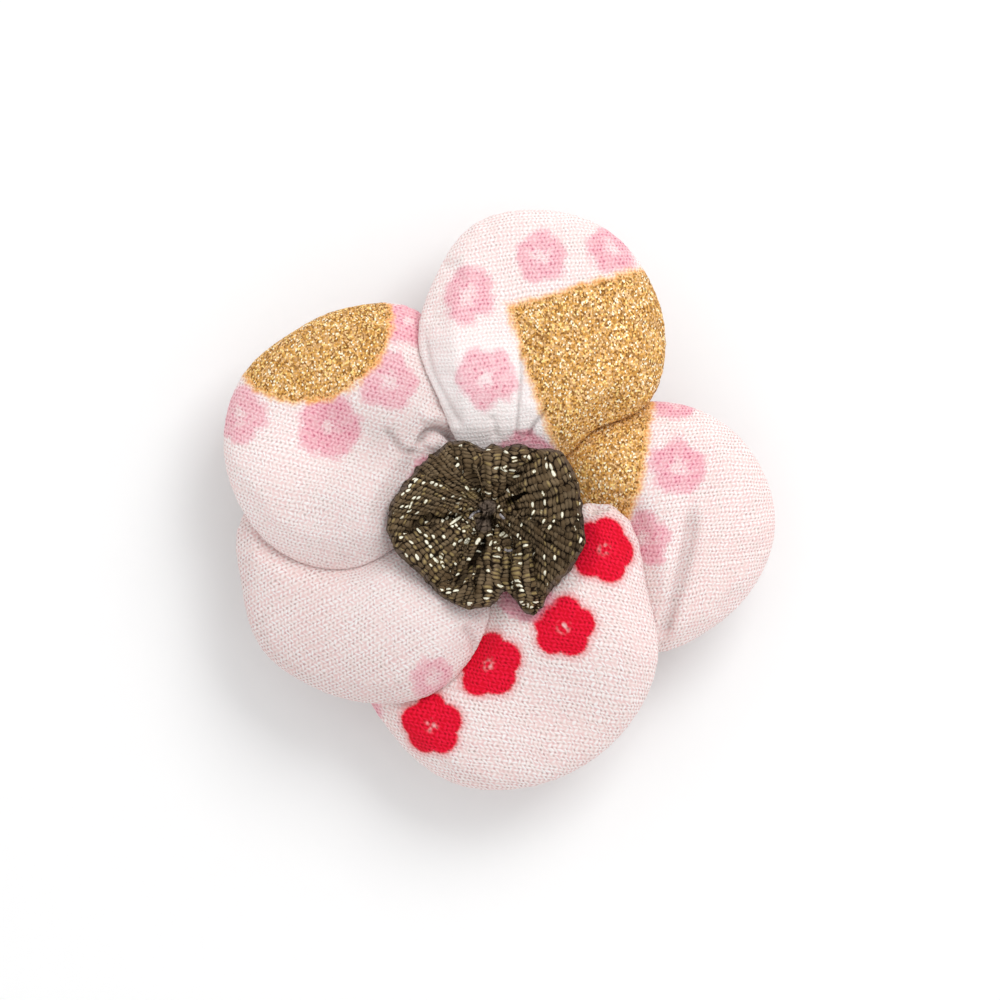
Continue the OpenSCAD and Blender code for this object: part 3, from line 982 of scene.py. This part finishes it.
# The pulled strands, charted one by one. Columns: middle, angle, length, width, brightness
# A strand's brightness is a painted highlight of the metal yarn
STRANDS = [
    ((-3.1, 0.0), 36, 1.60, 0.28, 0.8), ((-2.0, -2.1), 52, 0.80, 0.40, 1.0),
    ((-0.9, -2.1), 55, 0.80, 0.38, 1.0), ((-2.65, -2.05), 35, 0.55, 0.20, 0.9),
    ((-3.25, -2.4), 60, 0.36, 0.30, 1.0), ((1.5, -1.4), 38, 0.65, 0.34, 1.0),
    ((0.4, -2.3), 62, 0.65, 0.24, 1.0), ((0.85, -2.2), 20, 0.40, 0.22, 0.8),
    ((1.2, -2.9), 95, 0.42, 0.28, 1.0), ((1.15, 1.3), 55, 0.55, 0.17, 0.9),
    ((-1.5, 2.5), -20, 1.40, 0.80, 0.24), ((-2.3, 2.5), -55, 0.80, 0.24, 0.5),
    ((-2.0, 3.2), -50, 0.55, 0.24, 1.0), ((-1.3, 3.1), 5, 0.60, 0.20, 0.6),
    ((-0.8, 2.95), 50, 0.45, 0.20, 1.0), ((-1.7, 1.1), 5, 0.60, 0.30, 0.55),
    ((-2.1, -0.7), 20, 0.90, 0.34, 0.5), ((-2.3, -1.1), 10, 0.35, 0.25, 1.0),
    ((-1.3, -1.3), 15, 0.50, 0.20, 0.8), ((-7.6, 1.5), 68, 0.90, 0.16, 1.0),
    ((-6.1, 1.85), 50, 0.48, 0.26, 1.0), ((-5.1, -4.0), -42, 0.75, 0.28, 1.0),
    ((-4.6, -3.7), -45, 0.45, 0.25, 1.0), ((-4.35, -4.6), -55, 0.42, 0.20, 0.9),
    ((-5.6, -4.5), -45, 0.42, 0.22, 0.9), ((4.6, 0.75), 62, 0.62, 0.20, 1.0),
    ((5.65, -0.1), 60, 0.52, 0.22, 1.0), ((6.25, -0.7), 60, 0.50, 0.28, 1.0),
    ((5.6, 2.65), -68, 0.58, 0.18, 1.0), ((4.7, 4.85), 45, 0.36, 0.30, 1.0),
    ((2.9, 4.35), 12, 0.70, 0.22, 1.0), ((2.8, 5.9), 15, 0.62, 0.20, 0.7),
    ((1.8, 5.3), 30, 0.48, 0.24, 0.9), ((3.3, -4.3), -10, 0.42, 0.24, 1.0),
    ((3.3, -3.4), 0, 0.50, 0.26, 0.7), ((4.1, -8.5), 92, 0.50, 0.22, 1.0),
]


def rosette_profiles():
    """For each direction, points from the hub's top over the rim to the hub's underside."""
    tree = search_tree(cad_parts["rosette"].data)
    rings = np.zeros((FRONT_RINGS + BACK_RINGS, AROUND, 3))
    shares = np.sin(np.linspace(0, math.pi / 2, PROFILE_STEPS))
    for i, far in enumerate(outline_reach(tree, HUB, AROUND)):
        angle = 2 * math.pi * i / AROUND
        direction = heading(angle)
        rim = Vector((*(far * direction), 0))
        far += np.interp(math.degrees(angle), *zip(*TAB_END))
        far += sum(bulge * noise.noise(rim / spacing) for spacing, bulge in EDGE_BULGES)
        profile = {1: [], -1: []}
        for share in shares:
            for side in (1, -1):
                hit = surface_at(tree, HUB + direction * far * min(share, PROFILE_END), side)
                z = hit[2] / MM if hit else profile[side][-1][1]
                if side < 0:
                    z -= STUB * smooth(STUB_R - far * share + STUB_SOFT)
                profile[side].append((far * share, z))
        for side, start, count in ((1, 0, FRONT_RINGS), (-1, FRONT_RINGS, BACK_RINGS)):
            line = np.array(profile[side])
            if side > 0:
                line = np.append(line, [[far, (line[-1, 1] + profile[-1][-1][1]) / 2]], axis=0)
            way = np.append(0, np.hypot(*np.diff(line, axis=0).T).cumsum())
            even = np.linspace(0, way[-1], count + (side < 0))
            even = even if side > 0 else even[::-1][1:]
            r = np.interp(even, way, line[:, 0])
            rings[start:start + count, i, :2] = HUB + r[:, None] * direction
            rings[start:start + count, i, 2] = np.interp(even, way, line[:, 1])
    return rings


def ring_normals(rings):
    """Outward normals of a net of rings."""
    around = np.roll(rings, -1, axis=1) - np.roll(rings, 1, axis=1)
    outwards = np.gradient(rings, axis=0)
    normals = np.cross(outwards, around)
    normals[0] = normals[-1] = 0
    normals[0, :, 2] = 1
    normals[-1, :, 2] = -1
    return normals / np.maximum(np.linalg.norm(normals, axis=2, keepdims=True), 1e-9)


def wander(rings, spacing, layer):
    """Soft random numbers from -1 to 1 that change over this spacing. Layers are independent."""
    drift = Vector((0, 0, 40.0 * layer))
    flat = [noise.noise(Vector(point) / spacing + drift) for point in rings.reshape(-1, 3)]
    return np.array(flat).reshape(rings.shape[:2])


def rounded(along, across):
    """1 inside a rounded bar that reaches 1 unit each way, going softly down to 0 round it."""
    return smooth((1.2 - (np.abs(along) ** 3 + np.abs(across) ** 3) ** (1 / 3)) / 0.45)


def turned(offset, degrees):
    """How far each offset goes along a direction, and how far across it."""
    run = heading(math.radians(degrees))
    return offset @ run, offset @ np.array([-run[1], run[0]])


def knit_places(rings, on_tab, tab_across):
    """Each place's rib and row, the slant of the stitches there, and the share that glint."""
    offset = rings[..., :2] - HUB
    # How much longer the way along the cloth is than its plan
    steps = np.linalg.norm(np.diff(rings, axis=0), axis=2) - np.diff(np.hypot(*offset.T).T, axis=0)
    fall = np.concatenate([np.zeros((1, rings.shape[1])), steps.cumsum(axis=0)])
    angle = np.degrees(np.arctan2(offset[..., 1], offset[..., 0])) - FOLDS_FROM
    spacing, degrees = FOLDS_WANDER
    angle = (angle + degrees * wander(rings, spacing, FOLDS_LAYER)) % 360 + FOLDS_FROM
    rib, row, slant, glint = (np.zeros_like(angle) for _ in range(4))
    start = FOLDS_FROM
    for number, (end, axis, behind, width, length, lean, share) in enumerate(FOLDS):
        within = (angle >= start) & (angle < end)
        start = end
        along, across = turned(offset, axis)
        along = along + behind
        ribs = np.arctan2(across, along) * (behind + RIB_WIDTH_AT) / width
        rib[within] = ribs[within] + RIBS_APART * number
        row[within] = (np.hypot(along, across) + fall)[within] / length
        slant[within] = lean
        glint[within] = share
    for middle, radius in PATCH:
        on_patch = away_from(rings, middle) < radius
        rib[on_patch] = offset[on_patch][:, 0] / PATCH_RIB - 2 * RIBS_APART
        row[on_patch] = -offset[on_patch][:, 1] / TAB_STITCH
        glint[on_patch] = 0
    rib[on_tab] = (tab_across / TAB_RIB)[on_tab] - RIBS_APART
    row[on_tab] = (fall - rings[..., 1])[on_tab] / TAB_STITCH
    slant[on_tab] = TAB_SLANT
    glint[on_tab] = TAB_GLINTS
    for number, (spacing, share) in enumerate(WANDERS):
        rib += share * wander(rings, spacing, 2 * number)
        row += share * wander(rings, spacing, 2 * number + 1)
    return rib, row, slant, glint


def closed_skin(rings, first=0):
    """Points and faces of a skin over rings of points, drawn together at both ends."""
    count, around = rings.shape[:2]
    points = [tuple(rings[0].mean(axis=0)), *map(tuple, rings[1:-1].reshape(-1, 3)),
              tuple(rings[-1].mean(axis=0))]
    last = first + len(points) - 1
    faces = []
    for i in range(around):
        j = (i + 1) % around
        faces.append((first, first + 1 + i, first + 1 + j))
        faces.append((last, last - around + j, last - around + i))
        for r in range(count - 3):
            a = first + 1 + r * around
            faces.append((a + i, a + around + i, a + around + j, a + j))
    return points, faces


def add_skin(name, points, faces):
    """A new piece of the scene, with this skin."""
    mesh = bpy.data.meshes.new(name)
    mesh.from_pydata(points, [], faces)
    mesh.shade_smooth()
    return add(name, mesh)


def folds_at(rings):
    """How deep the folds are at each place, the painted shade they give it, and how high the rolls
    stand.
    """
    places = rings[..., :2].reshape(-1, 2)
    sunk, painted_fold_shade, risen = (np.zeros(len(places)) for _ in range(3))
    for half_width, deep, painted_darkness, line in VALLEYS:
        share = beside_line(places, line, half_width, VALLEY_ENDS)
        sunk = np.maximum(sunk, deep * share)
        painted_fold_shade = np.maximum(painted_fold_shade, painted_darkness * share)
    for half_width, high, line in ROLLS:
        risen = np.maximum(risen, high * beside_line(places, line, half_width, ROLL_ENDS))
    return [values.reshape(rings.shape[:2]) for values in (sunk, painted_fold_shade, risen)]


def tab_at(rings):
    """How far each place is across the tab, whether it is on the tab, and how high that stands."""
    line_x, line_y = np.array(TAB_LINE).T
    across = rings[..., 0] - np.interp(-rings[..., 1], -line_y, line_x)
    on_tab = (np.abs(across) < TAB_HALF) & (rings[..., 1] < line_y[0])
    side_soft, start_soft = TAB_SOFT
    sides = smooth((TAB_HALF - np.abs(across)) / side_soft)
    return across, on_tab, TAB_RISE * (sides * smooth((line_y[0] - rings[..., 1]) / start_soft))


def relief_at(rings, rib, row, slant, plain, from_edge):
    """Height of the ribs, of the rounded stitches on them, and of the folds' lumps."""
    in_rib = rib + STITCH_MIDDLE
    in_row = row + slant * (in_rib % 1) + STITCH_MIDDLE
    round_rib, round_row = (np.abs(np.sin(math.pi * count)) for count in (in_rib, in_row))
    round_stitch = np.sqrt(round_rib * round_row)
    relief = RIB_DEPTH * (round_rib - BELOW_CLOTH) + STITCH_DEPTH * (round_stitch - BELOW_CLOTH)
    relief = relief * (1 - plain)
    relief = relief + sum(high * wander(rings, spacing, LUMPS_LAYER + spacing)
                          for spacing, high in LUMPS)
    from_hub = np.arange(len(rings))[:, None]
    in_from_edge = EDGE_SHARE + (1 - EDGE_SHARE) * smooth(from_edge / EDGE_RELIEF)
    return relief * smooth(from_hub / HUB_RELIEF) * in_from_edge


def pull_strands(rings, shade, share):
    """Where the pulled strands show, and the cloth's shade and share of glints beside them."""
    metal = np.zeros_like(shade)
    for middle, angle, length, width, brightness in STRANDS:
        along, across = turned(rings[..., :2] - middle, angle)
        strand = rounded(along / (length / 2), across / (width / 2))
        beside = rounded(along / (length / 2 + STRAND_BESIDE), across / (width / 2 + STRAND_BESIDE))
        metal = np.maximum(metal * (1 - beside), brightness * strand)
        shade = shade * (1 - STRAND_SHADOW * beside * (1 - strand))
        share = share * (1 - beside)
    return metal, shade, share


rings = rosette_profiles()
from_edge = away_from(rings[FRONT_RINGS - 1], HUB) - away_from(rings, HUB)
on_front = np.arange(len(rings))[:, None] < FRONT_RINGS
for _ in range(SOFTENED):
    inner = (rings[:-2] + 2 * rings[1:-1] + rings[2:]) / 4
    rings[1:-1] = (np.roll(inner, 1, axis=1) + 2 * inner + np.roll(inner, -1, axis=1)) / 4
sunk, painted_fold_shade, risen = folds_at(rings)
tab_across, on_tab, tab_high = tab_at(rings)
risen = np.maximum(risen, tab_high)
flat_share = smooth(ring_normals(rings)[..., 2] / FOLDS_FACING)
rib, row, slant, share = knit_places(rings, on_tab, tab_across)
rings[..., 2] += (risen - sunk) * flat_share * on_front
spacing, uneven = EDGE_UNEVEN
rolled = from_edge + uneven * wander(rings, spacing, EDGE_LAYER)
plain = 1 - smooth((rolled - EDGE) / EDGE_BLEND)
for middle, radius in PATCH:
    plain = np.maximum(plain, smooth((radius - away_from(rings, middle)) / PATCH_BLEND + 0.3))
relief = relief_at(rings, rib, row, slant, plain, from_edge) * on_front
rings += relief[..., None] * ring_normals(rings)
# The folds' painted shade, with painted shadow beside the pulled strands
metal, shade, share = pull_strands(rings, np.exp(-FOLD_SHADE * painted_fold_shade), share)
share = share * (rolled > GLINTS_FROM_EDGE) * (plain < 0.5)
# Where two folds meet, a groove with painted shade and no glints
for axis, step in ((0, 1), (0, -1), (1, 1), (1, -1)):
    meeting = np.abs(rib - np.roll(rib, step, axis=axis)) > COUNT_JUMP
    shade = np.where(meeting & on_front, np.minimum(shade, FOLDS_MEET), shade)
    share = np.where(meeting, 0, share)
rosette = add_skin("rosette_knit", *closed_skin(rings * MM))
# Per point: painted shade, plain edge and the strands' painted highlight; rib, row, slant; glint share
for name, values in (("knit", (shade, plain, metal)), ("stitch", (rib, row, slant)),
                     ("glinting", (share, share, share))):
    values = np.stack(values, axis=-1)
    values = np.concatenate([values[0, :1], values[1:-1].reshape(-1, 3), values[-1, :1]])
    write_attribute(rosette.data, name, values)

# Colours of the yarn: its lighter and usual tones, its colour in painted shade, and its rolled edge
YARN_LIGHT = linear(138, 118, 91)
YARN = linear(105, 85, 60)
YARN_IN_PAINTED_SHADE = linear(22, 10, 0)
YARN_EDGE = linear(115, 100, 88)
# The metal yarn's painted highlight, and its dull gold: its own colour, with dimmer painted glints
METAL_PAINTED_GLINT = linear(255, 253, 232)
METAL_DULL = linear(182, 160, 106)
# A glint is a painted highlight on the metal yarn, a bar in the middle of its stitch: how many
# halves of it fit across a rib and along a row
GLINT = (2.8, 3.1)
# For each bright glint there are this many in all, the others dull
DIM_GLINTS = 2.3

metallic_knit, paint = new_material("metallic_knit")
knitted = paint.of_mesh("knit")
shade, plain, metal = (knitted.part(axis) for axis in range(3))
share = paint.of_mesh("glinting", "Fac")
stitches = paint.of_mesh("stitch")
rib = stitches.part(0)
lean = stitches.part(2) * rib.sum("FRACT", rib + STITCH_MIDDLE)
rows = stitches * (1.0, 1.0, 0.0) + lean * (0.0, 1.0, 0.0)
middle, stitch, far = (rows.cells(1.0, STRAY, out) for out in ("Position", "Color", "Distance"))
inside = rows.cells(1.0, STRAY, "Distance", "DISTANCE_TO_EDGE")
tone, chance, hole = (stitch.part(axis) for axis in range(3))
place = paint.object_place()
fibres = place.noise(5.5 / MM)
patches = place.noise(0.6 / MM, 1.0)
worn = place.noise(1.4 / MM, 1.0).ramp(0.3, 0.65)
# Painted shade in gaps, corners and missing stitches, painted light on rib crowns, and the folds'
# painted shade
gap = (inside + (fibres - 0.5) * 0.1).ramp(0.17, 0.0) * (0.15 + worn * 0.5)
gap = gap + (far + (fibres - 0.5) * 0.2).ramp(0.46, 0.68) * 0.8
across = rib.sum("SINE", (rib + STITCH_MIDDLE) * math.pi)
lit = 1 - gap * (1 - plain * 0.4) - tone * 0.3 - hole.ramp(0.14, 0.06) * 0.4 + abs(across) * 0.14
lit = (lit + (fibres - 0.5) * 0.8).ramp(0.05, 1.0) * (0.85 + (patches - 0.5) * 0.9) * shade
colour = lit.blend(YARN_IN_PAINTED_SHADE, tone.blend(YARN, YARN_LIGHT))
colour = plain.blend(colour, lit.blend(YARN_IN_PAINTED_SHADE, YARN_EDGE))
# Stitches of the metal yarn show as painted glints, bright and dim
bar = ((rows - middle) * (*GLINT, 0.0)).length().ramp(1.25, 0.75)
bright = (share - chance).ramp(0.0, 0.01)
dim = (share * DIM_GLINTS - chance).ramp(0.0, 0.01)
metal = metal.greatest(bar * (bright * 0.65 + dim * 0.35))
ragged = metal + (fibres - 0.5) * 0.9 * metal
dull = ragged.ramp(0.12, 0.35)
glints = ragged.ramp(0.45, 0.75)
colour = glints.blend((dull * 0.55).blend(colour, METAL_DULL), METAL_PAINTED_GLINT)
surface(paint,
        {"Base Color": colour,
         "Roughness": 0.75 - dull * 0.2 - glints * 0.2,
         "Metallic": dull * 0.2 - glints * 0.2,
         "Normal": (inside.ramp(0.0, 0.4) + fibres * 0.5).bump(0.7, 0.10 * MM)},
        {"Specular IOR Level": 0.12})
rosette.data.materials.append(metallic_knit)
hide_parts("rosette")
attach(rosette, "root")


# The gathering thread: pale grey polyester, which draws the rosette together at its middle. Three
# short loose ends of it lie on the knit round the hub.

THREAD_R = 0.14
# Each end's points: x, y and the height above the knit
THREAD_ENDS = [
    [(-1.75, 0.15, 0.05), (-1.45, 0.55, 0.22), (-1.1, 0.8, 0.2), (-0.75, 0.95, 0.0)],
    [(1.3, 0.55, 0.02), (1.55, 0.3, 0.18), (1.75, 0.1, 0.02)],
    [(1.75, -2.95, 0.0), (2.1, -3.1, 0.16), (2.5, -3.0, 0.02)],
]
THREAD_SIDES = 8


def strand(line):
    """Rings of points round a line of the thread, which ends in a point both ways."""
    ahead = np.gradient(line, axis=0)
    side = np.cross(ahead, (0.0, 0.0, 1.0))
    side /= np.linalg.norm(side, axis=1, keepdims=True)
    up = np.cross(side, ahead / np.linalg.norm(ahead, axis=1, keepdims=True))
    around = np.linspace(0, 2 * math.pi, THREAD_SIDES, endpoint=False)[:, None, None]
    rings = (line + THREAD_R * (np.cos(around) * side + np.sin(around) * up)).transpose(1, 0, 2)
    tips = np.repeat(line[[0, -1], None], THREAD_SIDES, axis=1)
    return np.concatenate([tips[:1], rings, tips[1:]])


knit_tree = search_tree(rosette.data)
points = []
faces = []
for end in THREAD_ENDS:
    line = np.array(curve(end))
    line[:, 2] += [surface_at(knit_tree, place)[2] / MM for place in line[:, :2]]
    more_points, more_faces = closed_skin(strand(line) * MM, len(points))
    points += more_points
    faces += more_faces
thread = add_skin("gather_thread", points, faces)

THREAD_PALE = linear(178, 172, 174)
THREAD_GREY = linear(120, 114, 116)
polyester, paint = new_material("polyester_thread")
twist = paint.object_place().noise(9.0 / MM)
surface(paint,
        {"Base Color": twist.ramp(0.35, 0.65).blend(THREAD_GREY, THREAD_PALE),
         "Normal": twist.bump(0.6, 0.03 * MM)},
        {"Roughness": 0.6})
thread.data.materials.append(polyester)
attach(thread, "root")


# The floor: a plain sheet of pale paper, which the barrette lies on. It is no part of the barrette,
# and it is large enough that no view from above shows its edge.

FLOOR_HALF = 1.5
FLOOR_BELOW = 0.02 * MM
FLOOR_WHITE = (0.96, 0.96, 0.96)
FLOOR_GRAIN = (0.97, 0.97, 0.97)
floor_mesh = bpy.data.meshes.new("floor")
floor_mesh.from_pydata([(x * FLOOR_HALF, y * FLOOR_HALF, -FLOOR_BELOW) for x, y in
                        ((-1, -1), (1, -1), (1, 1), (-1, 1))], [], [(0, 1, 2, 3)])
floor = add("floor", floor_mesh)
paper, paint = new_material("floor_paper")
grain = paint.object_place().noise(300.0)
surface(paint, {"Base Color": grain.blend(FLOOR_WHITE, FLOOR_GRAIN)}, {"Roughness": 0.9})
floor_mesh.materials.append(paper)


# The light: a pale surround, which keeps the cloth bright on all sides, and one broad soft lamp
# above and to the right, which gives the folds their shade.

SURROUND = 0.80
LAMP_PLACE = Vector((0.26, 0.34, 0.50))
LAMP_SIZE = 0.35
LAMP_WATTS = 1.75
world = bpy.data.worlds.new("surround")
world.use_nodes = True
world.node_tree.nodes["Background"].inputs["Color"].default_value = (1, 1, 1, 1)
world.node_tree.nodes["Background"].inputs["Strength"].default_value = SURROUND
bpy.context.scene.world = world
lamp_data = bpy.data.lights.new("lamp", "AREA")
lamp_data.size = LAMP_SIZE
lamp_data.energy = LAMP_WATTS
lamp = add("lamp", lamp_data)
lamp.location = LAMP_PLACE
lamp.rotation_mode = "QUATERNION"
lamp.rotation_quaternion = (-LAMP_PLACE).to_track_quat("-Z", "Y")
bpy.context.scene.view_settings.view_transform = "Standard"


# The camera: straight above the flower, as in the photo, with a long lens. The frame is as wide as
# the photo at 10 of its pixels to a millimetre.

FRAME_WIDTH = 100 * MM
VIEW_MIDDLE = Vector((1.3 * MM, 2.0 * MM, 12 * MM))
CAMERA_AWAY = 1.2
camera_data = bpy.data.cameras.new("camera")
camera_data.lens = camera_data.sensor_width * CAMERA_AWAY / FRAME_WIDTH
camera_data.clip_end = 10
camera = add("camera", camera_data)
camera.location = VIEW_MIDDLE + Vector((0, 0, CAMERA_AWAY))
bpy.context.scene.camera = camera
